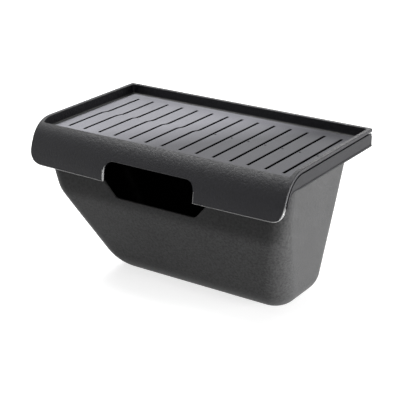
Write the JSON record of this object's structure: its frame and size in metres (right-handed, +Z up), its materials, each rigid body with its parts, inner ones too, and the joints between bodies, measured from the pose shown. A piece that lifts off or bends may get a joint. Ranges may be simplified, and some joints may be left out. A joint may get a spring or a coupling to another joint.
{
  "type": "drop-in waste bin",
  "caption": "Tapered waste bin of moulded plastic under a hinged tray lid, with a ribbed mat on top and a hand slot through its front apron.",
  "frame": {"origin": "centre of the overall footprint, on the surface that the base pads stand on", "axes": "+X to the right along the lid, +Y from the front apron to the hinge at the rear, +Z up"},
  "size_m": [0.3014, 0.1876, 0.1658],
  "materials": {
    "tub_plastic": "fine moulded texture, charcoal",
    "lid_plastic": "fine moulded texture, near black",
    "frame_plastic": "satin, charcoal",
    "mat_rubber": "fine grained, dark grey",
    "steel": "zinc plated",
    "rubber": "matt black"
  },
  "bodies": {
    "bin": {"tub": "tub_plastic", "rim_frame": "frame_plastic", "frame_screws": "steel", "bag_ring": "frame_plastic", "hinge_pin_left": "steel", "hinge_pin_right": "steel", "pin_clip_left": "steel", "pin_clip_right": "steel", "lid_buffers": "rubber", "base_pads": "rubber"},
    "lid": {"lid_shell": "lid_plastic", "tray_mat": "mat_rubber"}
  },
  "joints": [
    {"name": "lid_hinge", "type": "hinge", "parent": "bin", "child": "lid", "pos_m": [0, 0.09003, 0.1578], "axis": [-1, 0, 0], "range_deg": [0, 95]}
  ]
}
